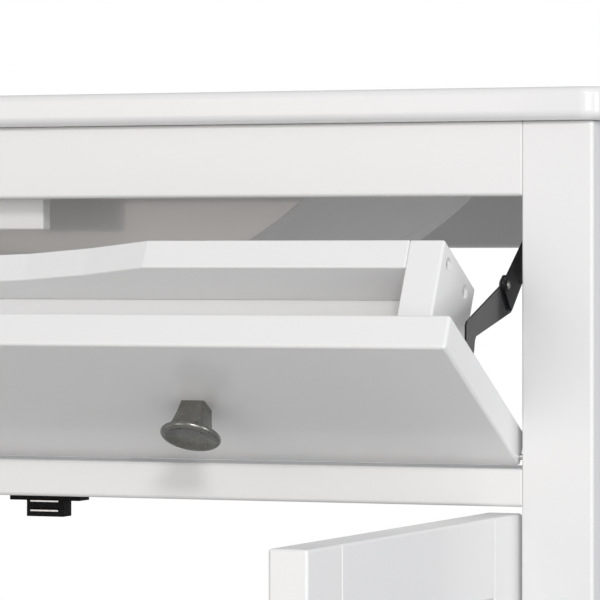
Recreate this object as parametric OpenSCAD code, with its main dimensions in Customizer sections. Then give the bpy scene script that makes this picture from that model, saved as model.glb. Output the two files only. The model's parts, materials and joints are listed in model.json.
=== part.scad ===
// Washstand table with a tilt-out tray front, two doors and a curved basin.
// Units are millimetres, +Z is up, the front faces -Y, the floor is Z = 0.
// It is drawn with its doors open and its tray front tilted out.

/* [Carcass] */
// clear half width between the posts
half_in = 280;     // [220:1:350]
// side of the square posts
post_w = 37;       // [30:1:50]
// depth of the carcass, front face to back face
depth = 440;       // [380:5:520]
// thickness of the boards
board = 18;        // [15:0.5:22]
// height of the underside of the top
carcass_h = 843.5; // [780:0.5:900]
// height of the front rail under the top
rail_h = 37.5;     // [30:0.5:50]
// clear height of the tray opening
tray_open_h = 136; // [120:0.5:160]
// thickness of the rail under the tray opening
mid_h = 19;        // [16:0.5:25]
// height of the underside of the bottom rail
bottom_z = 100;    // [60:5:160]
// height of the bottom front rail
bottom_h = 37;     // [30:1:50]
// height of the back rail under the top
back_rail_h = 62;  // [50:1:90]
// height of the leg glides
glide_h = 5;       // [3:0.5:8]

/* [Top and basin] */
// thickness of the top
top_t = 16.5;      // [15:0.5:25]
// overhang of the top at the front and sides
top_over = 8;      // [0:0.5:15]
// plan radius of the top's corners
top_corner_r = 14; // [10:1:30]
// radius of the top's upper edge
top_edge_r = 4;    // [2:0.5:6]
// radius of the top's lower edge
top_under_r = 5;   // [2:0.5:6]
// outside radius of the basin's curved underside
basin_r = 207.4;   // [180:0.1:260]
// height of the axis of that curve
basin_axis_z = 962.2; // [940:0.1:990]
// front face of the basin behind the front of the carcass
basin_y = 72;      // [70:0.5:90]
// depth of the basin body
basin_d = 262.7;   // [220:0.1:300]
// wall of the basin
basin_wall = 10;   // [8:0.5:14]
// radius of the tap hole
tap_r = 17.5;      // [15:0.5:18]
// distance of the tap hole behind the front of the carcass
tap_y = 386;       // [370:1:400]

/* [Tray front] */
// angle the tray front is tilted out
tilt = 62;         // [0:1:62]
// height of the tray front
flap_h = 130;      // [120:0.5:134]
// gap under the closed tray front
flap_gap = 2.6;    // [2:0.1:4]
// gap at each end of the tray front
flap_end_gap = 2.5; // [1:0.1:4]
// distance of the pivot from the front face and from the lower edge
pivot_in = 3.3;    // [2.5:0.1:5]
// back of the tray behind the front face
tray_depth = 66.5; // [60:0.5:68]
// thickness of the tray's back board
tray_back_t = 15.5; // [12:0.5:18]
// height of the tray's lower edge on the front
tray_z0 = 63;      // [50:1:70]
// height of the tray's upper edge on the front
tray_z1 = 115;     // [100:1:116]
// half width over the tray's sides
tray_half = 262.2; // [240:0.1:265]
// distance of each knob from the middle
knob_x = 126;      // [100:1:180]
// height of the knobs on the front
knob_z = 63.5;     // [40:0.5:90]

/* [Doors] */
// angle the doors stand open
swing = 88;        // [0:0.5:100]
// gap round each door
door_gap = 3.5;    // [2:0.5:4]
// gap at the hinged edge
hinge_gap = 2;     // [2:0.1:3]
// distance of the hinge axis from the hinged edge
hinge_edge = 4;    // [4:0.1:6]
// distance of the hinge axis behind the front
hinge_in = 3.9;    // [3:0.1:3.9]
// width of the stiles and rails
stile_w = 40;      // [35:1:60]
// thickness of the door frames
door_t = 19;       // [18:0.5:19]
// thickness of the door panel
panel_t = 8;       // [6:0.5:10]
// height of the door knobs above the floor
door_knob_z = 560; // [400:5:600]

/* [Stays] */
// thickness of the stay arms
arm_t = 1;         // [1:0.1:2.5]
// distance of the stay rivet behind the front of the carcass
rivet_y = -8.5;      // [-20:0.5:0]
// height of the stay rivet
rivet_z = 761.5;     // [740:0.5:780]
// length of the link arm from rivet to guide pin
link_len = 48;     // [40:1:60]
// angle of the link arm above level
link_angle = 35.4; // [20:0.1:50]
// turn of the link arm for each degree the tray front closes
link_turn = 0.35;  // [0.2:0.05:0.6]

/* [Hidden] */
$fn = 48;
top_z = carcass_h + top_t;
rail_z = carcass_h - rail_h;
low_top = rail_z - tray_open_h;
low_z = low_top - mid_h;
shelf_z = bottom_z + bottom_h - board;
post_x = half_in + post_w;
door_x1 = half_in - hinge_gap;
axis_x = door_x1 - hinge_edge;
door_x0 = door_gap / 2;
door_w = door_x1 - door_x0;
door_z0 = bottom_z + bottom_h + door_gap;
door_z1 = low_z - door_gap;
// the origin is under the middle of the whole piece as it stands open
door_reach = (door_w - hinge_edge) * sin(swing) + hinge_in * cos(swing) - hinge_in;
front_y = -(depth - door_reach) / 2;
pin_y = pivot_in;
pin_z = low_top + flap_gap + pivot_in;
flap_x = half_in - flap_end_gap;
tray_in = tray_half - board;
drain_y = basin_y + basin_d / 2;
drain_z = basin_axis_z - basin_r;
seat_z = drain_z + basin_wall + 1.2;
nut_z = drain_z - 7;
hinge_zs = [190, 540];
hinge_h = 50;
knuckle_r = 2.4;
recess_r = 2.9;
pivot_pin_r = 1.5;
leaf_t = 0.8;
leaf_w = 15;
guide_x = half_in - 2;
link_x = half_in - 5.5;
arm_x = half_in - 7;
white = [0.91, 0.91, 0.9];
ceramic = [0.88, 0.87, 0.85];
pewter = [0.3, 0.29, 0.27];
black = [0.08, 0.08, 0.08];
steel = [0.7, 0.7, 0.72];

// ---- placing helpers ----
module place() {
  translate([0, front_y, 0]) children();
}
module flip(side) {
  if (side < 0) mirror([1, 0, 0]) children();
  else children();
}
// children drawn on the closed tray front, in [x, back, up] from its lower front edge
module on_flap() {
  place() translate([0, pin_y, pin_z]) rotate([tilt, 0, 0])
    translate([0, -pivot_in, -pivot_in]) children();
}
// children drawn on the closed right-hand door
module on_door(side) {
  place() flip(side) translate([axis_x, hinge_in, 0]) rotate([0, 0, swing])
    translate([-axis_x, -hinge_in, 0]) children();
}
module xcyl(r, x0, x1, y, z) {
  translate([x0, y, z]) rotate([0, 90, 0]) cylinder(r = r, h = x1 - x0);
}
module box(a, b) {
  translate(a) cube([b[0] - a[0], b[1] - a[1], b[2] - a[2]]);
}

// ---- top and basin ----
// vertical section through one corner of the top
module corner_section() {
  r = top_corner_r;
  u = [for (a = [0:15:90]) [r - top_edge_r + top_edge_r * cos(a), top_t - top_edge_r + top_edge_r * sin(a)]];
  d = [for (a = [-90:15:0]) [r - top_under_r + top_under_r * cos(a), top_under_r + top_under_r * sin(a)]];
  polygon(concat([[0, 0]], d, u, [[0, top_t]]));
}
module bowl_plan() {
  w = 157.7 - 30;
  y0 = basin_y + basin_wall + 30;
  y1 = basin_y + basin_d - basin_wall - 30;
  for (x = [-w, w]) for (y = [y0, y1]) translate([x, y]) circle(r = 30);
  translate([-w, y0 - 30]) square([2 * w, y1 - y0 + 60]);
  translate([-w - 30, y0]) square([2 * w + 60, y1 - y0]);
}
module tabletop() {
  x = post_x + top_over - top_corner_r;
  place() color(white) difference() {
    hull() for (sx = [-x, x]) for (y = [top_corner_r - top_over, depth - top_corner_r])
      translate([sx, y, carcass_h]) rotate_extrude() corner_section();
    translate([0, 0, carcass_h - 1]) linear_extrude(top_t + 2) bowl_plan();
    translate([0, tap_y, carcass_h - 1]) cylinder(r = tap_r, h = top_t + 2);
  }
}
module basin() {
  place() color(ceramic) difference() {
    union() {
      intersection() {
        translate([0, basin_y, basin_axis_z]) rotate([-90, 0, 0])
          cylinder(r = basin_r, h = basin_d, $fn = 128);
        box([-190, 0, 700], [190, 400, carcass_h]);
      }
      box([-186, basin_y - 9, carcass_h - 8], [186, basin_y + basin_d + 12, carcass_h]);
      translate([0, drain_y, nut_z]) cylinder(r = 36, h = seat_z - nut_z + 2);
    }
    intersection() {
      translate([0, basin_y, basin_axis_z]) rotate([-90, 0, 0])
        cylinder(r = basin_r - basin_wall, h = basin_d, $fn = 128);
      translate([0, 0, 700]) linear_extrude(200) bowl_plan();
    }
    translate([0, drain_y, seat_z]) cylinder(r = 33, h = 40);
    translate([0, drain_y, nut_z - 1]) cylinder(r = 22.6, h = 60);
  }
}
module waste_fitting() {
  place() color(steel) translate([0, drain_y, 0]) difference() {
    union() {
      translate([0, 0, seat_z]) cylinder(r = 32.5, h = 3);
      translate([0, 0, nut_z - 12]) cylinder(r = 22.5, h = seat_z - nut_z + 13);
      translate([0, 0, nut_z - 58]) cylinder(r = 20, h = 50);
    }
    translate([0, 0, nut_z - 60]) cylinder(r = 17.5, h = 58 + seat_z - nut_z);
    for (a = [0:60:300]) rotate([0, 0, a]) translate([11, 0, seat_z - 5]) cylinder(r = 3.2, h = 12);
    translate([0, 0, seat_z - 5]) cylinder(r = 4, h = 12);
  }
}
module waste_nut() {
  place() color(steel) translate([0, drain_y, nut_z - 9]) difference() {
    cylinder(r = 31, h = 9, $fn = 8);
    translate([0, 0, -1]) cylinder(r = 22.6, h = 12);
  }
}

// ---- carcass ----
// right-hand front post with the bore for the pivot pin
module front_post(side) {
  place() flip(side) color(white) difference() {
    box([half_in, 0, glide_h], [post_x, post_w, carcass_h]);
    xcyl(pivot_pin_r + 0.05, half_in - 1, half_in + 13, pin_y, pin_z);
  }
}
module front_left_post() { front_post(-1); }
module front_right_post() { front_post(1); }
module back_post(side) {
  place() flip(side) color(white)
    box([half_in, depth - post_w, glide_h], [post_x, depth, carcass_h]);
}
module back_left_post() { back_post(-1); }
module back_right_post() { back_post(1); }
module side_panel(side) {
  place() flip(side) color(white)
    box([half_in, post_w, bottom_z], [half_in + board, depth - post_w, carcass_h]);
}
module left_side_panel() { side_panel(-1); }
module right_side_panel() { side_panel(1); }
module front_top_rail() {
  place() color(white) box([-half_in, 0, rail_z], [half_in, board, carcass_h]);
}
module middle_rail() {
  place() color(white) box([-half_in, 0, low_z], [half_in, post_w, low_top]);
}
module bottom_rail() {
  place() color(white) box([-half_in, 0, bottom_z], [half_in, board, bottom_z + bottom_h]);
}
module back_top_rail() {
  place() color(white)
    box([-half_in, depth - board, carcass_h - back_rail_h], [half_in, depth, carcass_h]);
}
module back_bottom_rail() {
  place() color(white)
    box([-half_in, depth - board, bottom_z], [half_in, depth, bottom_z + back_rail_h]);
}
module bottom_shelf() {
  place() color(white)
    box([-half_in, board, shelf_z], [half_in, depth - board, shelf_z + board]);
}
module stop_block() {
  place() color(white) box([-36, board, rail_z - 16.1], [9.7, board + 10, rail_z + 20.5]);
}
module leg_glides() {
  place() color(black) for (sx = [-1, 1]) for (y = [post_w / 2, depth - post_w / 2])
    translate([sx * (half_in + post_w / 2), y, 0]) cylinder(r = 12, h = glide_h);
}
// magnetic catch hanging from z, its working face at y = 20
module catch_body(up) {
  difference() {
    union() {
      box([-10.5, 20, -3.5], [29.7, 33, 0]);
      box([-0.7, 20, -12], [20.6, 30.4, -2]);
    }
    for (z = [-3.9, -8.9]) box([1.3, 19, z - 0.6], [17.7, 28, z + 1]);
    for (x = [-5.6, 25.2]) translate([x, 26.5, -4]) cylinder(r = 1.7, h = 6);
  }
}
module catch_poles() {
  for (z = [-3.9, -8.9]) box([1.4, 19.8, z - 0.5], [17.6, 27.9, z + 0.5]);
}
module upper_catch() { place() color(black) translate([0, 0, low_z]) catch_body(); }
module upper_catch_poles() { place() color(steel) translate([0, 0, low_z]) catch_poles(); }
module lower_catch() {
  place() color(black) translate([0, 0, shelf_z + board]) rotate([0, 180, 0]) catch_body();
}
module lower_catch_poles() {
  place() color(steel) translate([0, 0, shelf_z + board]) rotate([0, 180, 0]) catch_poles();
}

// ---- tray front ----
module tray_front() {
  on_flap() color(white) difference() {
    box([-flap_x, 0, 0], [flap_x, board, flap_h]);
    for (s = [-1, 1]) xcyl(pivot_pin_r + 0.05, s > 0 ? flap_x - 10.5 : -flap_x - 1,
      s > 0 ? flap_x + 1 : -flap_x + 10.5, pivot_in, pivot_in);
    for (s = [-1, 1]) translate([s * knob_x, -1, knob_z]) rotate([-90, 0, 0]) cylinder(r = 2.1, h = 15);
  }
}
// the upper edge dips in facets to pass the basin and the stop block
module tray_back() {
  p = [[-137.5, 0], [-102.5, -8], [-67.5, -13.7], [-32, -16.5], [0, -16.5], [35.5, -13.7], [70.5, -8],
       [105.5, 0]];
  on_flap() color(white) difference() {
    translate([0, tray_depth, tray_z0]) rotate([90, 0, 0]) linear_extrude(tray_back_t)
      polygon(concat([[-tray_in, 0], [tray_in, 0], [tray_in, tray_z1 - tray_z0]],
        [for (i = [7:-1:0]) [p[i][0], p[i][1] + tray_z1 - tray_z0]],
        [[-tray_in, tray_z1 - tray_z0]]));
    screw_bores(2.05);
  }
}
module screw_bores(r) {
  y = tray_depth - tray_back_t / 2 - 1;
  for (z = [tray_z0 + 13.6, tray_z1 - 10.2]) {
    xcyl(r, tray_in - 26, tray_half + 1, y, z);
    xcyl(r, -tray_half - 1, -tray_in + 26, y, z);
  }
}
module tray_side(side) {
  y = tray_depth - tray_back_t / 2 - 1;
  on_flap() flip(side) color(white) difference() {
    box([tray_in, board, tray_z0], [tray_half, tray_depth, tray_z1]);
    for (z = [tray_z0 + 13.6, tray_z1 - 10.2]) {
      xcyl(2.05, tray_in - 1, tray_half + 1, y, z);
      xcyl(3.6, tray_half - 4, tray_half + 1, y, z);
    }
  }
}
module tray_left_side() { tray_side(-1); }
module tray_right_side() { tray_side(1); }
module tray_bottom() {
  on_flap() color(white)
    box([-tray_in, board, tray_z0], [tray_in, tray_depth - tray_back_t, tray_z0 + 17.6]);
}
module tray_screws() {
  y = tray_depth - tray_back_t / 2 - 1;
  on_flap() color(steel) for (s = [-1, 1]) flip(s) for (z = [tray_z0 + 13.6, tray_z1 - 10.2])
    difference() {
      union() {
        xcyl(2, tray_in - 25, tray_half - 3, y, z);
        xcyl(3.5, tray_half - 4, tray_half - 1.6, y, z);
      }
      xcyl(1.6, tray_half - 3, tray_half, y, z);
    }
}
// knob with a square flared stem, a round dished cap and a threaded stud
module knob() {
  rotate([90, 0, 0]) {
    linear_extrude(height = 13.5, scale = 1.4) square(12.5, center = true);
    translate([0, 0, -13]) cylinder(r = 2, h = 14);
    rotate_extrude() polygon([[0, 12], [8.7, 13], [12.4, 13.6], [14, 15], [15.1, 15.8], [15.4, 16.6],
      [15.3, 17.5], [14.6, 18.2], [13.6, 18.5], [12.6, 18.3], [11, 17.5], [7, 16.4], [0, 15.9]]);
  }
}
module left_tray_knob() { on_flap() color(pewter) translate([-knob_x, 0, knob_z]) knob(); }
module right_tray_knob() { on_flap() color(pewter) translate([knob_x, 0, knob_z]) knob(); }
module tray_pivot_pins() {
  place() color(steel) for (s = [-1, 1]) flip(s)
    xcyl(pivot_pin_r, flap_x - 9.5, half_in + 12, pin_y, pin_z);
}

// ---- stays ----
// the stay arm is fixed to the tray front; the link arm turns on its rivet
module stay_arm(side) {
  p = [[-11, 764], [-13.3, 761.8], [-44.7, 751.7], [-66.5, 744.5], [-68.3, 742.6], [-68.3, 731.4],
       [-58.4, 726.2], [-56.6, 730], [-55.3, 735], [-53.5, 737], [1, 748], [2.2, 749.2], [-3, 762]];
  difference() {
    union() {
      place() flip(side) color(black) {
        translate([arm_x, 0, 0]) rotate([90, 0, 90]) linear_extrude(arm_t) polygon(p);
        xcyl(5.2, arm_x, arm_x + arm_t, rivet_y + 0.4, rivet_z);
      }
      on_flap() flip(side) color(black)
        box([arm_x - 9, board, 83.5], [arm_x + arm_t, board + arm_t, 99.5]);
    }
    place() flip(side) xcyl(2, arm_x - 1, arm_x + 3, rivet_y, rivet_z);
    on_flap() flip(side) translate([arm_x - 4.5, board - 1, 91.5]) rotate([-90, 0, 0])
      cylinder(r = 1.7, h = 5);
  }
}
module left_stay_arm() { stay_arm(-1); }
module right_stay_arm() { stay_arm(1); }
module link_arm(side) {
  place() flip(side) color(black) translate([link_x, rivet_y, rivet_z]) rotate([link_angle, 0, 0])
    difference() {
      union() {
        xcyl(4.6, 0, arm_t, 0, -0.2);
        hull() {
          xcyl(1, 0, arm_t, -1.9, -13);
          xcyl(2, 0, arm_t, -2.4, -2.6);
          xcyl(2, 0, arm_t, 0.6, 2.4);
          xcyl(6.8, 0, arm_t, link_len - 2, -4.2);
        }
        xcyl(2, 0, guide_x - link_x + 1.6, link_len, 0);
      }
      xcyl(2.06, -1, arm_t + 1, 0, 0);
    }
}
module left_link_arm() { link_arm(-1); }
module right_link_arm() { link_arm(1); }
module stay_rivets() {
  place() color(steel) for (s = [-1, 1]) flip(s) {
    xcyl(2, arm_x - 0.5, link_x + arm_t + 0.9, rivet_y, rivet_z);
    xcyl(4, arm_x - 1.2, arm_x, rivet_y, rivet_z);
    xcyl(4, link_x + arm_t + 0.4, link_x + arm_t + 1.3, rivet_y, rivet_z);
  }
}
// guide pin's place for a tray front closed by c degrees
function guide_pt(c) =
  let (dy = rivet_y - pin_y, dz = rivet_z - pin_z, r = norm([dy, dz]), a = atan2(dz, dy) - c,
       b = link_angle + link_turn * c)
  [pin_y + r * cos(a) + link_len * cos(b), pin_z + r * sin(a) + link_len * sin(b)];
slot_hw = 2.5;
guide_holes = [[29, 769.5], [60, 774.5], [95, 792.5], [72, 767.5]];
slot_c = [for (i = [0:1:31]) i * 2];
slot_p = [for (c = slot_c) guide_pt(c)];
slot_n = [for (c = slot_c) let (t = guide_pt(c + 0.5) - guide_pt(c - 0.5)) [-t[1], t[0]] / norm(t)];
module guide_plate(side) {
  n = len(slot_p) - 1;
  place() flip(side) color(steel) translate([guide_x, 0, 0]) difference() {
    hull() for (q = [[27, 768], [27, 794], [101, 762], [101, 788], [66, 798]])
      xcyl(6, 0, 2, q[0], q[1]);
    translate([-1, 0, 0]) rotate([90, 0, 90]) linear_extrude(4)
      polygon(concat([for (i = [0:n]) slot_p[i] + slot_hw * slot_n[i]],
                     [for (i = [n:-1:0]) slot_p[i] - slot_hw * slot_n[i]]));
    for (i = [0, n]) xcyl(slot_hw, -1, 3, slot_p[i][0], slot_p[i][1]);
    for (q = guide_holes) xcyl(1.7, -1, 3, q[0], q[1]);
  }
}
module left_guide_plate() { guide_plate(-1); }
module right_guide_plate() { guide_plate(1); }
module guide_screws() {
  place() color(steel) for (s = [-1, 1]) flip(s) for (q = guide_holes) {
    xcyl(1.65, guide_x, half_in, q[0], q[1]);
    xcyl(2.8, guide_x - 0.5, guide_x, q[0], q[1]);
  }
}
module foot_screws() {
  on_flap() color(steel) for (s = [-1, 1]) flip(s) translate([arm_x - 4.5, board, 91.5])
    rotate([-90, 0, 0]) {
      cylinder(r = 1.65, h = arm_t);
      translate([0, 0, arm_t]) cylinder(r = 3, h = 1.2);
    }
}

// ---- doors, drawn closed on the right and swung open ----
// recesses in the corner of the hinge stile, one for each hinge
module hinge_recesses() {
  for (z = hinge_zs)
    box([axis_x - recess_r, -1, z - 1], [door_x1 + 1, hinge_in + recess_r + 1, z + hinge_h + 1]);
}
module groove() {
  y0 = (door_t - panel_t) / 2 - 0.1;
  box([door_x0 + stile_w - 6, y0, door_z0 + stile_w - 6],
      [door_x1 - stile_w + 6, y0 + panel_t + 0.2, door_z1 - stile_w + 6]);
}
module hinge_stile(side) {
  on_door(side) color(white) difference() {
    box([door_x1 - stile_w, 0, door_z0], [door_x1, door_t, door_z1]);
    groove();
    hinge_recesses();
  }
}
module free_stile(side) {
  on_door(side) color(white) difference() {
    box([door_x0, 0, door_z0], [door_x0 + stile_w, door_t, door_z1]);
    groove();
    translate([door_x0 + stile_w / 2, -1, door_knob_z]) rotate([-90, 0, 0]) cylinder(r = 2.1, h = 15);
    box([3.45, door_t - 1, strike_z(side) - 0.05], [19.55, door_t + 1, strike_z(side) + 10.05]);
  }
}
module door_rail(side, z) {
  on_door(side) color(white) difference() {
    box([door_x0 + stile_w, 0, z], [door_x1 - stile_w, door_t, z + stile_w]);
    groove();
  }
}
module door_panel(side) {
  y0 = (door_t - panel_t) / 2;
  on_door(side) color(white)
    box([door_x0 + stile_w - 5.5, y0, door_z0 + stile_w - 5.5],
        [door_x1 - stile_w + 5.5, y0 + panel_t, door_z1 - stile_w + 5.5]);
}
module door_knob(side) {
  on_door(side) color(pewter) translate([door_x0 + stile_w / 2, 0, door_knob_z]) knob();
}
// strike plate let into the inner face, opposite its catch
function strike_z(side) = side < 0 ? door_z0 + 1 : door_z1 - 11;
module strike(side) {
  on_door(side) color(steel)
    box([3.5, door_t - 1, strike_z(side)], [19.5, door_t, strike_z(side) + 10]);
}
// knuckle segments of one hinge, the post's at 0, 2 and 4, the door's at 1 and 3
module knuckles(z, which) {
  for (k = which) translate([axis_x, hinge_in, z + k * 10 + 0.2]) cylinder(r = knuckle_r, h = 9.6);
}
module pin_bore(z) {
  translate([axis_x, hinge_in, z - 1]) cylinder(r = 1.25, h = hinge_h + 2);
}
// plate on the back of the recess, joined to its knuckles by webs
module door_leaves(side) {
  on_door(side) color(steel) for (z = hinge_zs) difference() {
    y1 = hinge_in + recess_r + 1;
    union() {
      knuckles(z, [1, 3]);
      for (k = [1, 3])
        box([axis_x - leaf_t / 2, hinge_in, z + k * 10 + 0.2], [axis_x + leaf_t / 2, y1 - 0.1, z + k * 10 + 9.8]);
      box([axis_x - recess_r + 0.3, y1 - leaf_t, z + 0.2], [door_x1, y1, z + hinge_h - 0.2]);
    }
    pin_bore(z);
  }
}
// plate on the face of the post, joined to its knuckles by webs
module post_leaves(side) {
  place() flip(side) color(steel) for (z = hinge_zs) difference() {
    union() {
      knuckles(z, [0, 2, 4]);
      for (k = [0, 2, 4])
        box([axis_x, hinge_in - leaf_t / 2, z + k * 10 + 0.2], [half_in - 0.1, hinge_in + leaf_t / 2, z + k * 10 + 9.8]);
      box([half_in - leaf_t, 2.6, z + 0.2], [half_in, leaf_w, z + hinge_h - 0.2]);
    }
    pin_bore(z);
    for (q = [10, 40]) xcyl(1.6, half_in - 4, half_in + 2, 10.5, z + q);
  }
}
module hinge_pins() {
  place() color(steel) for (s = [-1, 1]) flip(s) for (z = hinge_zs)
    translate([axis_x, hinge_in, z - 0.8]) {
      cylinder(r = 1.2, h = hinge_h + 1.6);
      cylinder(r = 2.2, h = 0.8);
    }
}
module left_door_hinge_stile() { hinge_stile(-1); }
module left_door_free_stile() { free_stile(-1); }
module left_door_top_rail() { door_rail(-1, door_z1 - stile_w); }
module left_door_bottom_rail() { door_rail(-1, door_z0); }
module left_door_panel() { door_panel(-1); }
module left_door_knob() { door_knob(-1); }
module left_door_strike() { strike(-1); }
module left_door_leaves() { door_leaves(-1); }
module left_post_leaves() { post_leaves(-1); }
module right_door_hinge_stile() { hinge_stile(1); }
module right_door_free_stile() { free_stile(1); }
module right_door_top_rail() { door_rail(1, door_z1 - stile_w); }
module right_door_bottom_rail() { door_rail(1, door_z0); }
module right_door_panel() { door_panel(1); }
module right_door_knob() { door_knob(1); }
module right_door_strike() { strike(1); }
module right_door_leaves() { door_leaves(1); }
module right_post_leaves() { post_leaves(1); }

tabletop();
basin();
waste_fitting();
waste_nut();
front_left_post();
front_right_post();
back_left_post();
back_right_post();
left_side_panel();
right_side_panel();
front_top_rail();
middle_rail();
bottom_rail();
back_top_rail();
back_bottom_rail();
bottom_shelf();
stop_block();
leg_glides();
upper_catch();
upper_catch_poles();
lower_catch();
lower_catch_poles();
tray_front();
tray_back();
tray_left_side();
tray_right_side();
tray_bottom();
tray_screws();
left_tray_knob();
right_tray_knob();
tray_pivot_pins();
left_stay_arm();
right_stay_arm();
left_link_arm();
right_link_arm();
stay_rivets();
left_guide_plate();
right_guide_plate();
guide_screws();
foot_screws();
left_door_hinge_stile();
left_door_free_stile();
left_door_top_rail();
left_door_bottom_rail();
left_door_panel();
left_door_knob();
left_door_strike();
left_door_leaves();
left_post_leaves();
right_door_hinge_stile();
right_door_free_stile();
right_door_top_rail();
right_door_bottom_rail();
right_door_panel();
right_door_knob();
right_door_strike();
right_door_leaves();
right_post_leaves();
hinge_pins();
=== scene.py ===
"""Looks for the washstand table: white lacquered boards, a cast basin, pewter knobs, black stays.

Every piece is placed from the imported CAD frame. Lengths are metres; those in mm are times MM.
"""

import json
import math

import bmesh
import bpy
from mathutils import Matrix, Vector

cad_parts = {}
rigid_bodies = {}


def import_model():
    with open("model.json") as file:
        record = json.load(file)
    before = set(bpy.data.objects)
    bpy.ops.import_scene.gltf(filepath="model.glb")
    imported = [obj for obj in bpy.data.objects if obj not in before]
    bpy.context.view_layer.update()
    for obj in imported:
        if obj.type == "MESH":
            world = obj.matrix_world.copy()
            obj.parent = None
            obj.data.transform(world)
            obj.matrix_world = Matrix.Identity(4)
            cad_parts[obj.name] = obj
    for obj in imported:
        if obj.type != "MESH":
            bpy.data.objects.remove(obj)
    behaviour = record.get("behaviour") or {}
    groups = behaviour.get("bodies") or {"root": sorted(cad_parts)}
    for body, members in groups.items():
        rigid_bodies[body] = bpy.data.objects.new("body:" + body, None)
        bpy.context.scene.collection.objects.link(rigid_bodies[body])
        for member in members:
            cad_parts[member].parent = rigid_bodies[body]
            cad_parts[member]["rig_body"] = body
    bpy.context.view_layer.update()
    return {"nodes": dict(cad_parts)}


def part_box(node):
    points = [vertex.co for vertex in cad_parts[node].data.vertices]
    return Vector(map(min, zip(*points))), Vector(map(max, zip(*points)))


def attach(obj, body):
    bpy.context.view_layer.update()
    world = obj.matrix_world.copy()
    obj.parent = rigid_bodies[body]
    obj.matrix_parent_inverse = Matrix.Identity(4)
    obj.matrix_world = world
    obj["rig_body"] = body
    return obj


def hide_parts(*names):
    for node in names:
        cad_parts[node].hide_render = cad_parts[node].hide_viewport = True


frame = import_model()
NODES = frame["nodes"]
MM = 0.001
SIDES = ((-1, "left"), (1, "right"))

# ---- places read from the frame ----
POST_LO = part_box("front_right_post")[0]
TOP_LO, TOP_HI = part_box("tabletop")
FRONT = POST_LO.y  # front face of the carcass
HALF_IN = POST_LO.x  # clear half width between the posts

# ---- the rest pose, from closed ----
TILT = math.radians(62)  # of the tray front
SWING = math.radians(88)  # of each door
PIVOT_IN = 3.3 * MM  # tray pivot, in from the lower front edge of the tray front
PIVOT = Vector((0, FRONT + PIVOT_IN, 0.6759))
DOOR_AXIS = Vector((HALF_IN - 6 * MM, 3.9 * MM, 0))  # of the right door, from the front's middle

# A board's own upright place is [x, back, up] on its closed front; these take it to the rest pose.
ON_FLAP = (
    Matrix.Translation(PIVOT)
    @ Matrix.Rotation(TILT, 4, "X")
    @ Matrix.Translation((0, -PIVOT_IN, -PIVOT_IN))
)


def on_door(side):
    """As ON_FLAP, for the right door (side 1) or its mirror image, the left door (side -1)."""
    return (
        Matrix.Translation((0, FRONT, 0))
        @ Matrix.Scale(side, 4, (1, 0, 0))
        @ Matrix.Translation(DOOR_AXIS)
        @ Matrix.Rotation(SWING, 4, "Z")
        @ Matrix.Translation(-DOOR_AXIS)
    )


# ---- materials ----
def new_material(name):
    mat = bpy.data.materials.new(name)
    mat.use_nodes = True
    tree = mat.node_tree
    return mat, tree, tree.nodes["Principled BSDF"]


def link(tree, a, out, b, into):
    tree.links.new(a.outputs[out], b.inputs[into])


def noise(tree, coords, scale, detail=2.0, rough=0.5):
    n = tree.nodes.new("ShaderNodeTexNoise")
    n.inputs["Scale"].default_value = scale
    n.inputs["Detail"].default_value = detail
    n.inputs["Roughness"].default_value = rough
    link(tree, coords, "Object", n, "Vector")
    return n


def ramp(tree, source, low, high):
    """A noise run between two stops of (position, grey or colour)."""
    r = tree.nodes.new("ShaderNodeValToRGB")
    for element, (position, value) in zip(r.color_ramp.elements, (low, high)):
        element.position = position
        element.color = (*value, 1) if hasattr(value, "__len__") else (value, value, value, 1)
    link(tree, source, "Fac", r, "Fac")
    return r


def mix_colour(tree, fac, under, over):
    """A colour laid over a colour socket by a factor socket."""
    m = tree.nodes.new("ShaderNodeMix")
    m.data_type = "RGBA"
    factor, first, second, result = m.inputs[0], m.inputs[6], m.inputs[7], m.outputs[2]
    tree.links.new(fac, factor)
    tree.links.new(under, first)
    second.default_value = (*over, 1)
    return result


def surface(name, cloud, tints, edge_wear_and_sheen, scuff, spread, rough, grain, strength, depth, ior):
    """A finish with clouded colour, tinted edges (rubbed wear on the paints; on the metals also a
    painted highlight), uneven roughness and a fine bump.

    cloud, spread and grain are noises of (scale, detail, roughness). tints and rough are each a
    pair. scuff is a noise and two stops that break up the colour laid over the edges, or None.
    """
    mat, tree, shader = new_material(name)
    coords = tree.nodes.new("ShaderNodeTexCoord")
    tint = ramp(tree, noise(tree, coords, *cloud), (0.3, tints[0]), (0.7, tints[1]))
    edge = tree.nodes.new("ShaderNodeAttribute")
    edge.attribute_name = "edge"
    # edge mask: rubbed wear on the paints, and on the metals a painted edge highlight as well
    wear_and_sheen = edge.outputs["Fac"]
    if scuff:
        patches = ramp(tree, noise(tree, coords, *scuff[0]), *scuff[1:])
        both = tree.nodes.new("ShaderNodeMath")
        both.operation = "MULTIPLY"
        tree.links.new(wear_and_sheen, both.inputs[0])
        link(tree, patches, "Color", both, 1)
        wear_and_sheen = both.outputs[0]
    colour = mix_colour(tree, wear_and_sheen, tint.outputs["Color"], edge_wear_and_sheen)
    tree.links.new(colour, shader.inputs["Base Color"])
    uneven = ramp(tree, noise(tree, coords, *spread), (0.3, rough[0]), (0.7, rough[1]))
    link(tree, uneven, "Color", shader, "Roughness")
    relief = tree.nodes.new("ShaderNodeBump")
    relief.inputs["Strength"].default_value = strength
    relief.inputs["Distance"].default_value = depth
    link(tree, noise(tree, coords, *grain), "Fac", relief, "Height")
    link(tree, relief, "Normal", shader, "Normal")
    shader.inputs["IOR"].default_value = ior
    return mat, shader


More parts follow.
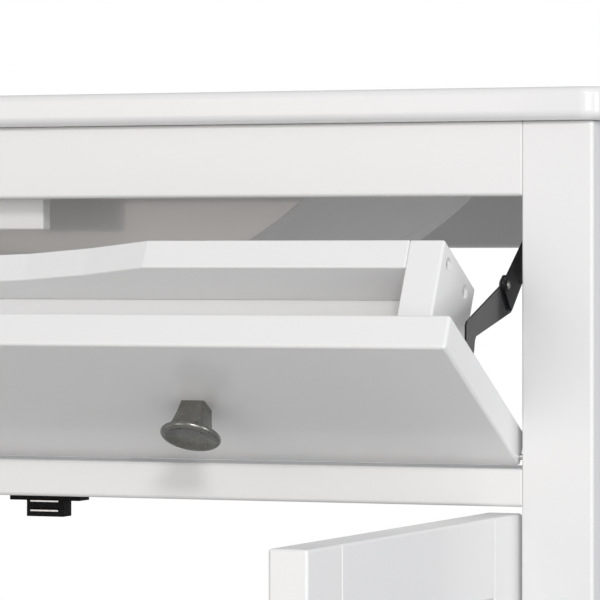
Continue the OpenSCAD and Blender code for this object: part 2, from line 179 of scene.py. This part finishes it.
def lacquer(name, colour, edge_wear_and_sheen, rough=(0.275, 0.285), coat=0.3, coat_rough=0.1, peel=0.35):
    """Sprayed paint: faint mottling, orange peel, and handled edges a little rubbed."""
    mat, shader = surface(
        name,
        cloud=(7, 4),
        tints=([c * 0.995 for c in colour], colour),
        edge_wear_and_sheen=edge_wear_and_sheen,
        scuff=((170, 4, 0.65), (0.5, 0), (0.75, 0.5)),
        spread=(30, 4),
        rough=rough,
        grain=(700, 2, 0.4),
        strength=peel * 0.12,
        depth=0.00012,
        ior=1.5,
    )
    shader.inputs["Coat Weight"].default_value = coat
    shader.inputs["Coat Roughness"].default_value = coat_rough
    return mat


def metal(name, colour, dark, rough, depth=0.00006, metallic=1.0, ior=1.5):
    """Metal with a mottled finish, fine pits and brighter edges: a painted edge highlight, partly
    rubbed metal.
    """
    mat, shader = surface(
        name,
        cloud=(120, 4, 0.6),
        tints=(dark, colour),
        # edges painted brighter: a painted highlight along the edges, partly standing for rubbed
        # metal
        edge_wear_and_sheen=[min(1, c * 1.5 + 0.03) for c in colour],
        scuff=((300, 3), (0.4, 0), (0.7, 0.7)),
        spread=(260, 4),
        rough=rough,
        grain=(1680, 3, 0.6),
        strength=0.25,
        depth=depth,
        ior=ior,
    )
    shader.inputs["Metallic"].default_value = metallic
    return mat


def plastic(name, colour, rough):
    """Moulded plastic with a spark-eroded texture."""
    return surface(
        name,
        cloud=(60, 3),
        tints=([c * 0.8 for c in colour], [c * 1.2 for c in colour]),
        edge_wear_and_sheen=[c * 1.6 for c in colour],
        scuff=None,
        spread=(500, 3),
        rough=rough,
        grain=(2600, 2, 0.5),
        strength=0.35,
        depth=0.00008,
        ior=1.25,
    )[0]


MATERIALS = {
    "white_lacquer": lacquer("white_lacquer", (0.83, 0.83, 0.825), (0.79, 0.785, 0.77)),
    "cast_top": lacquer(
        "cast_top",
        (0.83, 0.828, 0.825),
        (0.8, 0.8, 0.79),
        rough=(0.16, 0.22),
        coat=0.4,
        coat_rough=0.06,
        peel=0.3,
    ),
    "basin_ceramic": lacquer(
        "basin_ceramic",
        (0.80, 0.785, 0.768),
        (0.83, 0.81, 0.78),
        rough=(0.1, 0.14),
        coat=0.4,
        coat_rough=0.05,
        peel=0.1,
    ),
    "pewter": metal("pewter", (0.31, 0.31, 0.288), (0.235, 0.233, 0.212), (0.22, 0.3)),
    # black oxide and oil: it shines as a dielectric
    "black_steel": metal(
        "black_steel",
        (0.016, 0.016, 0.017),
        (0.011, 0.011, 0.012),
        (0.14, 0.2),
        metallic=0.0,
        ior=1.33,
    ),
    "bright_steel": metal("bright_steel", (0.62, 0.62, 0.63), (0.5, 0.5, 0.51), (0.22, 0.34)),
    "chrome": metal("chrome", (0.8, 0.8, 0.81), (0.74, 0.74, 0.75), (0.06, 0.12), depth=0.00001),
    "black_plastic": plastic("black_plastic", (0.004, 0.004, 0.0045), (0.5, 0.62)),
}


# ---- objects ----
def add_object(name, data):
    obj = bpy.data.objects.new(name, data)
    bpy.context.scene.collection.objects.link(obj)
    return obj


def dress(obj, look, body, *replaced):
    """Gives a piece its material and its body, and hides the CAD nodes that it stands for."""
    obj.data.materials.clear()
    obj.data.materials.append(MATERIALS[look])
    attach(obj, body)
    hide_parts(*replaced)


def bake_modifiers(obj):
    bpy.context.view_layer.update()
    graph = bpy.context.evaluated_depsgraph_get()
    mesh = bpy.data.meshes.new_from_object(
        obj.evaluated_get(graph), preserve_all_data_layers=True, depsgraph=graph
    )
    obj.modifiers.clear()
    obj.data = mesh


def flatten(obj, degrees=34, weight=100):
    """Marks the edges sharper than an angle and lets the large faces rule the shading."""
    obj.data.set_sharp_from_angle(angle=math.radians(degrees))
    weigh = obj.modifiers.new("weigh", "WEIGHTED_NORMAL")
    weigh.keep_sharp = True
    weigh.weight = weight
    bake_modifiers(obj)


def rounded(obj, width, segments, material=-1):
    """Rounds the weighted edges by a width in mm and bakes the result."""
    bevel = obj.modifiers.new("round", "BEVEL")
    bevel.width = width * MM
    bevel.segments = segments
    bevel.limit_method = "WEIGHT"
    bevel.material = material
    bevel.harden_normals = True
    bevel.miter_outer = "MITER_SHARP"
    bake_modifiers(obj)


def set_edge(mesh, values):
    """Where the handled edges are, for the edge wear in the materials and the painted edge
    highlight on the metals: one value for each vertex.
    """
    mesh.attributes.new("edge", "FLOAT", "POINT").data.foreach_set("value", values)


# ---- mesh helpers ----
def finish_mesh(bm, name):
    mesh = bpy.data.meshes.new(name)
    bm.to_mesh(mesh)
    bm.free()
    for p in mesh.polygons:
        p.use_smooth = True
    return mesh


def circle_points(r, n):
    return [(r * math.cos(math.tau * i / n), r * math.sin(math.tau * i / n)) for i in range(n)]


def quarter(steps):
    """(sine, cosine) of the angles along a quarter turn."""
    angles = [math.radians(90 * i / steps) for i in range(steps + 1)]
    return [(math.sin(a), math.cos(a)) for a in angles]


def rounded_rect(x0, x1, y0, y1, r, n_side, n_corner):
    """Points round a rectangle with rounded corners, counterclockwise seen from above."""
    points = []
    centres = [
        (x1 - r, y0 + r, -90),
        (x1 - r, y1 - r, 0),
        (x0 + r, y1 - r, 90),
        (x0 + r, y0 + r, 180),
    ]
    for k, (cx, cy, start) in enumerate(centres):
        for i in range(n_corner + 1):
            a = math.radians(start + 90 * i / n_corner)
            points.append((cx + r * math.cos(a), cy + r * math.sin(a)))
        next_x, next_y, next_start = centres[(k + 1) % 4]
        ax, ay = points[-1]
        bx = next_x + r * math.cos(math.radians(next_start))
        by = next_y + r * math.sin(math.radians(next_start))
        for i in range(1, n_side):
            t = i / n_side
            points.append((ax + (bx - ax) * t, ay + (by - ay) * t))
    return points


def ring_verts(bm, points):
    return [bm.verts.new(p) for p in points]


def level_ring(bm, outline, z):
    return ring_verts(bm, [(x, y, z) for x, y in outline])


def bridge(bm, a, b):
    n = len(a)
    for i in range(n):
        j = (i + 1) % n
        bm.faces.new((a[i], a[j], b[j], b[i]))


def skin(bm, rings):
    for a, b in zip(rings, rings[1:]):
        bridge(bm, a, b)


def face_outward(bm):
    bmesh.ops.recalc_face_normals(bm, faces=bm.faces)


def close_tube(bm, first, last):
    """Walls and ends of a closed tube between two rings."""
    bridge(bm, first, last)
    bm.faces.new(first)
    bm.faces.new(last)
    face_outward(bm)


def fill_between(bm, loops):
    """Flat face with holes between closed vertex loops."""
    edges = []
    for loop in loops:
        for i in range(len(loop)):
            pair = (loop[i], loop[(i + 1) % len(loop)])
            edges.append(bm.edges.get(pair) or bm.edges.new(pair))
    bmesh.ops.triangle_fill(bm, use_beauty=True, use_dissolve=False, edges=edges)


def lathe(profile, segments):
    """A turned body about +Z from (radius, height) points; the first and last lie on the axis."""
    bm = bmesh.new()
    low = bm.verts.new((0, 0, profile[0][1]))
    rings = [level_ring(bm, circle_points(r, segments), z) for r, z in profile[1:-1]]
    high = bm.verts.new((0, 0, profile[-1][1]))
    skin(bm, rings)
    for i in range(segments):
        j = (i + 1) % segments
        bm.faces.new((low, rings[0][j], rings[0][i]))
        bm.faces.new((rings[-1][i], rings[-1][j], high))
    return bm


def turned_ring(profile, segments):
    """A turned ring about +Z from a closed profile of (radius, height) points."""
    bm = bmesh.new()
    rings = [level_ring(bm, circle_points(r, segments), z) for r, z in profile]
    skin(bm, rings + rings[:1])
    return bm


# ---- cutting tools ----
def cutter(bm):
    mesh = bpy.data.meshes.new("cut")
    bm.to_mesh(mesh)
    bm.free()
    return mesh


def block(lo, hi):
    bm = bmesh.new()
    corners = [(lo[0], lo[1]), (hi[0], lo[1]), (hi[0], hi[1]), (lo[0], hi[1])]
    close_tube(bm, level_ring(bm, corners, lo[2]), level_ring(bm, corners, hi[2]))
    return cutter(bm)


def drum(r0, r1, x0, x1, y, z):
    """A cylinder or cone along x."""
    bm = bmesh.new()
    ends = [
        ring_verts(bm, [(x, y + c, z + s) for c, s in circle_points(r, 40)])
        for r, x in ((r0, x0), (r1, x1))
    ]
    close_tube(bm, *ends)
    return cutter(bm)


def upright_box(node, place):
    """Lowest and highest corners of a node in its own upright place."""
    back = place.inverted()
    spots = [back @ v.co for v in NODES[node].data.vertices]
    lo = Vector([min(p[i] for p in spots) for i in range(3)])
    hi = Vector([max(p[i] for p in spots) for i in range(3)])
    return lo, hi


def pocket(node, place):
    """Cut for a plate let into the back of a board."""
    lo, hi = upright_box(node, place)
    play = 0.05 * MM
    return block(
        (lo.x - play, lo.y, lo.z - play), (hi.x + play, hi.y + 1 * MM, hi.z + play)
    )


def carve(obj, cuts):
    """Cuts meshes out of a board and bakes the result."""
    tools = [add_object("cut", cut) for cut in cuts]
    for tool in tools:
        modifier = obj.modifiers.new("carve", "BOOLEAN")
        modifier.operation = "DIFFERENCE"
        modifier.solver = "EXACT"
        modifier.object = tool
    bake_modifiers(obj)
    for tool in tools:
        bpy.data.objects.remove(tool)
    flatten(obj)


# ---- the kinds of piece ----
def add_piece(name, bm, body, look, replaced, edge_wear_and_sheen=lambda co: 0.0, harden=None):
    """A new piece that rides on a body, stands for a CAD node and wears one material.

    The edge function gives the edge mark at a point: wear, which on the metals also paints a
    highlight. Edges sharper than harden, in degrees, stay sharp.
    """
    face_outward(bm)
    mesh = finish_mesh(bm, name)
    set_edge(mesh, [edge_wear_and_sheen(v.co) for v in mesh.vertices])
    obj = add_object(name, mesh)
    if harden is not None:
        flatten(obj, harden, 80)
    dress(obj, look, body, replaced)
    return obj


def softened(node, width, look, shortest=0.5):
    """The CAD node with its convex edges rounded. Width and shortest edge in mm."""
    bm = bmesh.new()
    bm.from_mesh(NODES[node].data)
    bmesh.ops.remove_doubles(bm, verts=bm.verts, dist=2e-6)
    bmesh.ops.dissolve_limit(
        bm, angle_limit=math.radians(0.6), verts=bm.verts, edges=bm.edges, delimit={"NORMAL"}
    )
    weight = bm.edges.layers.float.new("bevel_weight_edge")
    for e in bm.edges:
        if len(e.link_faces) == 2 and e.calc_length() > shortest * MM:
            if e.calc_face_angle(0) > math.radians(20) and e.is_convex:
                e[weight] = 1.0
    name = node + "_soft"
    mesh = finish_mesh(bm, name)
    flat, round_edge = 0, 1  # material slots that tell the flats from the rounded edges
    for _ in (flat, round_edge):
        mesh.materials.append(MATERIALS[look])
    obj = add_object(name, mesh)
    mesh.set_sharp_from_angle(angle=math.radians(35))
    rounded(obj, width, segments=2, material=round_edge)
    flatten(obj)
    # rounded edges marked for edge wear and, on the metals, a painted edge highlight
    edge = [1.0] * len(obj.data.vertices)
    for p in obj.data.polygons:
        if p.material_index == flat:
            for v in p.vertices:
                edge[v] = 0.0
        p.material_index = flat
    set_edge(obj.data, edge)
    dress(obj, look, NODES[node]["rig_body"], node)


def board(
    node,
    place=Matrix(),
    free=1.6,
    joint=0.9,
    joints=(),
    cuts=(),
    trim=0.0,
    slack=0.0,
    outline=None,
):
    """A board cut square, its edges eased: free edges by one width, edges at joints by another.

    joints are (axis, value) planes and cuts are meshes, both in the board's own upright place.
    trim, in mm, comes off all four edges and slack off the back. outline is (x, up) points.
    """
    lo, hi = upright_box(node, place)
    lo.x, lo.z = lo.x + trim * MM, lo.z + trim * MM
    hi.x, hi.y, hi.z = hi.x - trim * MM, hi.y - slack * MM, hi.z - trim * MM
    outline = outline or [(lo.x, lo.z), (hi.x, lo.z), (hi.x, hi.z), (lo.x, hi.z)]
    bm = bmesh.new()
    faces = [ring_verts(bm, [(x, y, z) for x, z in outline]) for y in (lo.y, hi.y)]
    close_tube(bm, *faces)

    on_plane, corner, facet = 3e-5, math.radians(40), math.radians(2)
    weight = bm.edges.layers.float.new("bevel_weight_edge")
    for e in bm.edges:
        tight = any(
            all(abs(v.co[axis] - value) < on_plane for v in e.verts) for axis, value in joints
        )
        if e.calc_face_angle(0) > corner:
            e[weight] = joint / free if tight else 1.0
        elif e.calc_face_angle(0) > facet:
            e[weight] = 0.3
    name = node + "_board"
    obj = add_object(name, finish_mesh(bm, name))
    rounded(obj, free, segments=4)
    if cuts:
        carve(obj, cuts)

    def eased(co):
        gap = min(abs(co[i] - end[i]) for end in (lo, hi) for i in range(3))
        return 0.0 if gap < 1e-6 else 1.0

    mesh = obj.data
    set_edge(mesh, [eased(v.co) for v in mesh.vertices])
    mesh.transform(place)
    if place.determinant() < 0:
        mesh.flip_normals()
    dress(obj, "white_lacquer", NODES[node]["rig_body"], node)


# ---- top ----
BOWL_Y0, BOWL_Y1 = FRONT + 82 * MM, FRONT + 324.7 * MM
BOWL_X = 157.7 * MM
BOWL_CORNER = 30 * MM


def build_top():
    """A slab with rolled edges, the mouth of the bowl and a tap hole."""
    bm = bmesh.new()
    z0, z1 = TOP_LO.z, TOP_HI.z
    corner, upper, lower = 14 * MM, 4 * MM, 5 * MM
    steps = 8

    def outer(inset, z):
        x0, x1, y0, y1 = TOP_LO.x, TOP_HI.x, TOP_LO.y, TOP_HI.y
        outline = rounded_rect(
            x0 + inset, x1 - inset, y0 + inset, y1 - inset, corner - inset, 14, 14
        )
        return level_ring(bm, outline, z)

    rings = [outer(lower * (1 - s), z0 + lower * (1 - c)) for s, c in quarter(steps)]
    rings += [outer(upper * (1 - c), z1 - upper + upper * s) for s, c in quarter(steps)]
    skin(bm, rings)

    mouth = 4 * MM

    def hole(grow, z):
        y0, y1 = BOWL_Y0 - grow, BOWL_Y1 + grow
        outline = rounded_rect(-BOWL_X - grow, BOWL_X + grow, y0, y1, BOWL_CORNER + grow, 16, 12)
        return level_ring(bm, outline, z)

    bowl = [hole(mouth * (1 - s), z1 - mouth * (1 - c)) for s, c in quarter(steps)]
    bowl.append(hole(0, z0))
    skin(bm, bowl)

    tap_y, tap_r, chamfer = FRONT + 386 * MM, 17.5 * MM, 1.2 * MM

    def tap(r, z):
        return level_ring(bm, [(x, tap_y + y) for x, y in circle_points(r, 64)], z)

    taps = [tap(tap_r + chamfer * (1 - s), z1 - chamfer * (1 - c)) for s, c in quarter(4)]
    taps.append(tap(tap_r, z0))
    skin(bm, taps)

    fill_between(bm, [rings[-1], bowl[0], taps[0]])
    fill_between(bm, [rings[0], bowl[-1], taps[-1]])

    def edge_wear_and_sheen(co):
        return 1.0 if z1 - 3.6 * MM < co.z < z1 - 0.4 * MM else 0.0

    add_piece("tabletop_slab", bm, "carcass", "cast_top", "tabletop", edge_wear_and_sheen, 40)


# ---- basin ----
def build_basin():
    """A trough round a lying cylinder, with rolled end walls, a flange and a drain seat."""
    axis_z, r_out, wall = 962.2 * MM, 207.4 * MM, 10 * MM
    r_in = r_out - wall
    y0, y1 = BOWL_Y0 - wall, BOWL_Y1 + wall
    yc = (y0 + y1) / 2
    top = TOP_LO.z
    under = top - 8 * MM  # underside of the flange
    seat, nut = 766.0 * MM, 747.8 * MM  # heights of the drain seat and of the boss under it
    drain_r = 36 * MM
    n_side, n_corner = 26, 8
    bm = bmesh.new()

    def floor(r, x):
        return axis_z - math.sqrt(max(r * r - x * x, 0))

    def round_drain(r, ring):
        """Points on a circle about the drain, at the bearings of a ring's points."""
        out = []
        for p in ring:
            d = Vector((p[0], p[1] - yc))
            d.normalize()
            out.append((r * d.x, yc + r * d.y))
        return out

    def trough(half_x, ya, yb, corner, fillet, r, z_top, centre_z, bend):
        """Rings from the mouth down the walls, round the fillet and in to the drain circle."""
        rim = rounded_rect(-half_x, half_x, ya, yb, corner, n_side, n_corner)
        rings = [[(x, y, z_top) for x, y in rim]]
        for s, c in quarter(7):
            inset = fillet * (1 - c)
            loop = rounded_rect(
                -half_x + inset,
                half_x - inset,
                ya + inset,
                yb - inset,
                max(corner - inset, 0.8 * MM),
                n_side,
                n_corner,
            )
            # only the end walls roll: at the sides the cylinder itself rises to the rim
            points = []
            for x, y in loop:
                end = min(1.0, max(0.0, (half_x - abs(x)) / bend))
                points.append((x, y, min(z_top, floor(r, x) + fillet * (1 - s) * end)))
            rings.append(points)
        inner = [(p[0], p[1]) for p in rings[-1]]
        disc = round_drain(drain_r, inner)
        for k in range(1, 7):
            t = k / 6
            loop = [
                (a[0] + (b[0] - a[0]) * t, a[1] + (b[1] - a[1]) * t) for a, b in zip(inner, disc)
            ]
            rings.append([(x, y, floor(r, x) * (1 - t**4) + centre_z * t**4) for x, y in loop])
        return rings

    half_out = math.sqrt(r_out**2 - (axis_z - under) ** 2)
    drain_z = floor(r_out, 0) - 0.4 * MM
    sharp = 1.6 * MM
    inside = trough(
        BOWL_X, y0 + wall, y1 - wall, BOWL_CORNER, 22 * MM, r_in, top, seat, 60 * MM
    )
    outside = trough(half_out, y0, y1, sharp, sharp, r_out, under, drain_z, 8 * MM)
    ins = [ring_verts(bm, ring) for ring in inside]
    outs = [ring_verts(bm, ring) for ring in outside]
    skin(bm, ins)
    skin(bm, outs)

    # drain seat and the boss under it, as (radius in mm, height)
    bearings = [(v.co.x, v.co.y) for v in ins[-1]]
    step = seat - 0.4 * MM
    drain = [(33.5, seat), (33.0, step), (22.6, step), (22.6, nut), (34.5, nut)]
    drain.append((36.0, nut + 1.5 * MM))
    chain = [level_ring(bm, round_drain(r * MM, bearings), z) for r, z in drain]
    skin(bm, [ins[-1], *chain, outs[-1]])

    # flange, as (inset in mm, height)
    lo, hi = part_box("basin")
    flange = [(0.5, top), (0.0, top - 0.6 * MM), (0.0, under + 1.6 * MM)]
    flange += [(0.5, under + 0.4 * MM), (1.6, under)]
    lips = []
    for inset, z in flange:
        i = inset * MM
        outline = rounded_rect(lo.x + i, hi.x - i, lo.y + i, hi.y - i, 5 * MM, n_side, n_corner)
        lips.append(level_ring(bm, outline, z))
    skin(bm, lips)
    fill_between(bm, [lips[0], ins[0]])
    fill_between(bm, [lips[-1], outs[0]])
    bmesh.ops.remove_doubles(bm, verts=bm.verts, dist=1e-6)
    add_piece("basin_cast", bm, "carcass", "basin_ceramic", "basin", harden=38)


build_top()
build_basin()

# ---- boards of the carcass ----
POST_FACES = [(0, HALF_IN), (0, -HALF_IN)]
for side, word in SIDES:
    board(f"front_{word}_post", free=2.1, joints=POST_FACES)
    board(f"back_{word}_post", free=1.7, joints=POST_FACES)
    board(f"{word}_side_panel", free=0.7)
for name in ("front_top_rail", "middle_rail", "bottom_rail", "back_top_rail", "back_bottom_rail"):
    board(name, free=2.0, joints=POST_FACES)
board("bottom_shelf", free=0.8)
board("stop_block", free=1.3)

# ---- boards of the tray ----
TRAY_IN, TRAY_OUT = 244.2 * MM, 262.2 * MM  # faces of the tray's sides
TRAY_BACK_LOW, TRAY_TOP = 63 * MM, 115 * MM
DIP = [  # of the tray back: (x, drop), mm
    (105.5, 0),
    (70.5, -8),
    (35.5, -13.7),
    (0, -16.5),
    (-32, -16.5),
    (-67.5, -13.7),
    (-102.5, -8),
    (-137.5, 0),
]
board("tray_front", ON_FLAP, free=1.8, joint=0.8, joints=[(2, 0.0)], slack=0.1)
board("tray_bottom", ON_FLAP, free=0.5)
board(
    "tray_back",
    ON_FLAP,
    free=1.1,
    joints=[(0, TRAY_IN), (0, -TRAY_IN)],
    outline=[(-TRAY_IN, TRAY_BACK_LOW), (TRAY_IN, TRAY_BACK_LOW), (TRAY_IN, TRAY_TOP)]
    + [(x * MM, TRAY_TOP + z * MM) for x, z in DIP]
    + [(-TRAY_IN, TRAY_TOP)],
)

SCREW_Y, SCREW_ZS = 57.75 * MM, (76.6 * MM, 104.8 * MM)
HEAD_SEAT = TRAY_OUT - 2.6 * MM


def screw_sinks(side):
    """Cuts for the heads and the shanks of the screws in a tray side."""
    cuts = []
    for z in SCREW_ZS:
        for r0, r1, x0, x1 in (
            (3.7 * MM, 3.6 * MM, TRAY_OUT + 0.6 * MM, HEAD_SEAT),
            (2.05 * MM, 2.05 * MM, HEAD_SEAT + 1 * MM, TRAY_IN - 1 * MM),
        ):
            cuts.append(drum(r0, r1, side * x0, side * x1, SCREW_Y, z))
    return cuts


for side, word in SIDES:
    joints = [(0, side * TRAY_IN)]
    board(f"tray_{word}_side", ON_FLAP, free=1.3, joints=joints, cuts=screw_sinks(side))

# ---- boards of the doors ----
HINGE_ZS = (190 * MM, 540 * MM)  # lower ends of the hinges
HINGE_HIGH = 50 * MM
STILE = 40 * MM
DOOR_LO, DOOR_HI = 1.75 * MM, 278 * MM  # free and hinge edges of the closed right door
SEAMS = [(0, DOOR_LO + STILE), (0, DOOR_HI - STILE)]


def hinge_recesses():
    """Cuts in the outer corner of the hinge stile, on the closed door."""
    x, y, play = DOOR_AXIS.x, DOOR_AXIS.y, 1 * MM
    inward, outward, behind = 2.9 * MM, 5 * MM, 3.9 * MM
    return [
        block(
            (x - inward, -play, z - play),
            (x + outward, y + behind, z + HINGE_HIGH + play),
        )
        for z in HINGE_ZS
    ]


for side, word in SIDES:
    here = on_door(side)
    strike = pocket(f"{word}_door_strike", here)
    board(f"{word}_door_hinge_stile", here, joints=SEAMS, cuts=hinge_recesses())
    board(f"{word}_door_free_stile", here, joints=SEAMS, cuts=[strike])
    board(f"{word}_door_top_rail", here, joints=SEAMS)
    board(f"{word}_door_bottom_rail", here, joints=SEAMS)
    board(f"{word}_door_panel", here, free=0.4, trim=4.5)

# ---- small parts straight from the frame, with softened edges ----
for name in ("left_stay_arm", "right_stay_arm", "left_link_arm", "right_link_arm"):
    softened(name, 0.4, "black_steel")
for name in ("upper_catch", "lower_catch"):
    softened(name, 0.5, "black_plastic", shortest=1.0)
for name in ("upper_catch_poles", "lower_catch_poles"):
    softened(name, 0.15, "bright_steel")

# ---- nodes that keep their CAD shape ----
CARRIED = {
    "chrome": ("waste_fitting", "waste_nut"),
    "black_plastic": ("leg_glides",),
    "black_steel": ("foot_screws",),
    "bright_steel": (
        "tray_screws",
        "tray_pivot_pins",
        "left_guide_plate",
        "right_guide_plate",
        "guide_screws",
        "left_door_strike",
        "right_door_strike",
        "left_door_leaves",
        "right_door_leaves",
        "left_post_leaves",
        "right_post_leaves",
        "hinge_pins",
    ),
}
for look, nodes in CARRIED.items():
    for node in nodes:
        obj = NODES[node]
        obj.data.materials.clear()
        obj.data.materials.append(MATERIALS[look])


# ---- stay rivets ----
SHANK = [  # shank and washers between the arms, and its small domed end: (radius, out), mm
    (0, -1.5),
    (2.6, -1.4),
    (3.6, -0.9),
    (4.0, -0.3),
    (4.0, 0),
    (2.0, 0),
    (2.0, 1.02),
    (4.2, 1.04),
    (4.4, 1.25),
    (4.2, 1.46),
    (2.0, 1.48),
    (2.0, 2.8),
    (1.9, 3.1),
    (1.5, 3.4),
    (0.8, 3.55),
    (0, 3.6),
]
COLLAR = [  # round the domed end
    (2.03, 2.52),
    (3.0, 2.52),
    (3.2, 2.7),
    (3.1, 2.9),
    (2.7, 3.05),
    (2.2, 3.0),
    (2.03, 2.85),
]


def build_rivets():
    body = NODES["stay_rivets"]["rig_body"]
    for side, word in SIDES:
        at = Vector((side * (HALF_IN - 7 * MM), FRONT - 8.5 * MM, 761.5 * MM))
        turn = Matrix.Translation(at) @ Matrix.Rotation(math.radians(90 * side), 4, "Y")
        for part, shape, profile, look in (
            ("rivet", lathe, SHANK, "pewter"),
            ("collar", turned_ring, COLLAR, "black_steel"),
        ):
            bm = shape([(r * MM, z * MM) for r, z in profile], 40)
            bmesh.ops.transform(bm, matrix=turn, verts=bm.verts)
            add_piece(f"{word}_stay_{part}", bm, body, look, "stay_rivets", harden=38)


# ---- knobs ----
def rounded_square(half, corner, n=64):
    """Ring of a square with rounded corners; corner equal to half gives a circle."""
    core = half - corner
    if core < 1e-9:
        return circle_points(half, n)
    points = []
    for c, s in circle_points(1, n):
        # ray from the middle meets the straight side, or else the corner's arc
        t = half / max(abs(c), abs(s))
        if abs(c) * t > core and abs(s) * t > core:
            b = core * (abs(c) + abs(s))
            t = b + math.sqrt(max(b * b - 2 * core * core + corner * corner, 0))
        points.append((t * c, t * s))
    return points


KNOB = [  # (out from the face, half width, corner radius), mm
    (0, 6.25, 0.6),
    (0.3, 6.3, 0.7),
    (3, 6.65, 0.7),
    (6, 7.05, 0.8),
    (9, 7.6, 0.8),
    (11.5, 8.15, 1.0),
    (13.0, 8.7, 1.4),
    (13.8, 9.3, 2.6),
    (14.3, 10.2, 5.5),
    (14.6, 11.4, 9.0),
    (14.9, 12.8, 12.6),
    (15.2, 14.0, 14.0),
    (15.6, 14.9, 14.9),
    (16.2, 15.3, 15.3),
    (16.9, 15.4, 15.4),
    (17.5, 15.25, 15.25),
    (18.0, 14.85, 14.85),
    (18.35, 14.3, 14.3),
    (18.5, 13.6, 13.6),
    (18.45, 12.9, 12.9),
    (18.15, 12.2, 12.2),
    (17.6, 11.2, 11.2),
    (16.95, 9.5, 9.5),
    (16.4, 7, 7),
    (16.0, 3.5, 3.5),
]
KNOB_DISH = 15.9 * MM  # out to the middle of the dished face
TRAY_KNOB = (126 * MM, 0, 63.5 * MM)  # spots on the closed right half of the tray front and door
DOOR_KNOB = (21.5 * MM, 0, 560 * MM)


def build_knob(name, node, place):
    bm = bmesh.new()
    rings = []
    for out, half, corner in KNOB:
        points = [Vector((x, -out, y)) * MM for x, y in rounded_square(half, corner)]
        rings.append(ring_verts(bm, [place @ p for p in points]))
    skin(bm, rings)
    bm.faces.new(rings[0][::-1])
    middle = bm.verts.new(place @ Vector((0, -KNOB_DISH, 0)))
    last = rings[-1]
    for i in range(len(last)):
        bm.faces.new((last[i], last[(i + 1) % len(last)], middle))
    obj = add_piece(name, bm, NODES[node]["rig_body"], "pewter", node)
    obj.data.set_sharp_from_angle(angle=math.radians(60))


build_rivets()
for side, word in SIDES:
    x, y, z = TRAY_KNOB
    on_tray = ON_FLAP @ Matrix.Translation((side * x, y, z))
    build_knob(f"{word}_tray_pull", f"{word}_tray_knob", on_tray)
    at_door = on_door(side) @ Matrix.Translation(DOOR_KNOB)
    build_knob(f"{word}_door_pull", f"{word}_door_knob", at_door)


# ---- stage ----
SKY = 0.522
SKY_COLOUR = (0.972, 0.984, 1.02, 1)
FLOOR = 0.56
FLOOR_HALF = 6.0
LIGHTS = [  # name, azimuth, distance, height, (width, height), radiance, colour
    ("key", 29, 3.2, 2.1, (0.55, 0.55), 35.2, (1, 0.985, 0.98)),
    ("right_strip", 69, 2.6, 0.95, (0.5, 2.2), 3.9, (1, 1, 1)),
    ("left_panel", -24, 3.0, 0.9, (1.2, 1.8), 1.35, (1, 0.9, 0.8)),
    ("right_panel", 35, 3.0, 0.8, (1.2, 1.4), 2.0, (1, 1, 1)),
]
LIGHT_AIM = Vector((0, FRONT, 0.7))
CAMERA_SPOT = (0.89896, FRONT - 1.91497, 0.77446)
CAMERA_TURN = math.radians(21.06)
CAMERA_LENS, CAMERA_SENSOR = 242.09, 36  # mm
CAMERA_SHIFT = -0.0678


def build_floor():
    mesh = bpy.data.meshes.new("studio_floor")
    s = FLOOR_HALF
    mesh.from_pydata([(-s, -s, 0), (s, -s, 0), (s, s, 0), (-s, s, 0)], [], [(0, 1, 2, 3)])
    floor = add_object("studio_floor", mesh)
    mat, _, shader = new_material("studio_floor")
    shader.inputs["Base Color"].default_value = (FLOOR, FLOOR, FLOOR, 1)
    shader.inputs["Roughness"].default_value = 0.8
    mesh.materials.append(mat)


def build_world():
    """A soft sky that lights the table, behind a plain white backdrop."""
    world = bpy.data.worlds.new("studio")
    world.use_nodes = True
    tree = world.node_tree
    sky = tree.nodes["Background"]
    sky.inputs["Strength"].default_value = SKY
    sky.inputs["Color"].default_value = SKY_COLOUR
    paper = tree.nodes.new("ShaderNodeBackground")
    paper.inputs["Color"].default_value = (1, 1, 1, 1)
    paper.inputs["Strength"].default_value = 1.0
    path = tree.nodes.new("ShaderNodeLightPath")
    choose = tree.nodes.new("ShaderNodeMixShader")
    link(tree, path, "Is Camera Ray", choose, 0)
    link(tree, sky, 0, choose, 1)
    link(tree, paper, 0, choose, 2)
    link(tree, choose, 0, tree.nodes["World Output"], "Surface")
    bpy.context.scene.world = world
    bpy.context.scene.view_settings.view_transform = "Standard"


def area_light(name, azimuth, distance, height, size, radiance, colour):
    """A softbox facing the table; azimuth in degrees from straight ahead of it, to the right."""
    data = bpy.data.lights.new(name, "AREA")
    data.shape = "RECTANGLE"
    data.size, data.size_y = size
    data.energy = radiance * math.pi * size[0] * size[1]
    data.color = colour
    a = math.radians(azimuth)
    place = Vector((distance * math.sin(a), FRONT - distance * math.cos(a), height))
    obj = add_object(name, data)
    obj.location = place
    obj.rotation_euler = (LIGHT_AIM - place).to_track_quat("-Z", "Y").to_euler()


def build_camera():
    """Level, turned to the left, with a long lens; the shift sets how high it frames."""
    data = bpy.data.cameras.new("camera")
    data.lens = CAMERA_LENS
    data.sensor_width = CAMERA_SENSOR
    data.shift_y = CAMERA_SHIFT
    data.clip_end = 50
    obj = add_object("camera", data)
    obj.location = CAMERA_SPOT
    obj.rotation_euler = (math.radians(90), 0, CAMERA_TURN)
    bpy.context.scene.camera = obj


build_floor()
build_world()
for light in LIGHTS:
    area_light(*light)
build_camera()
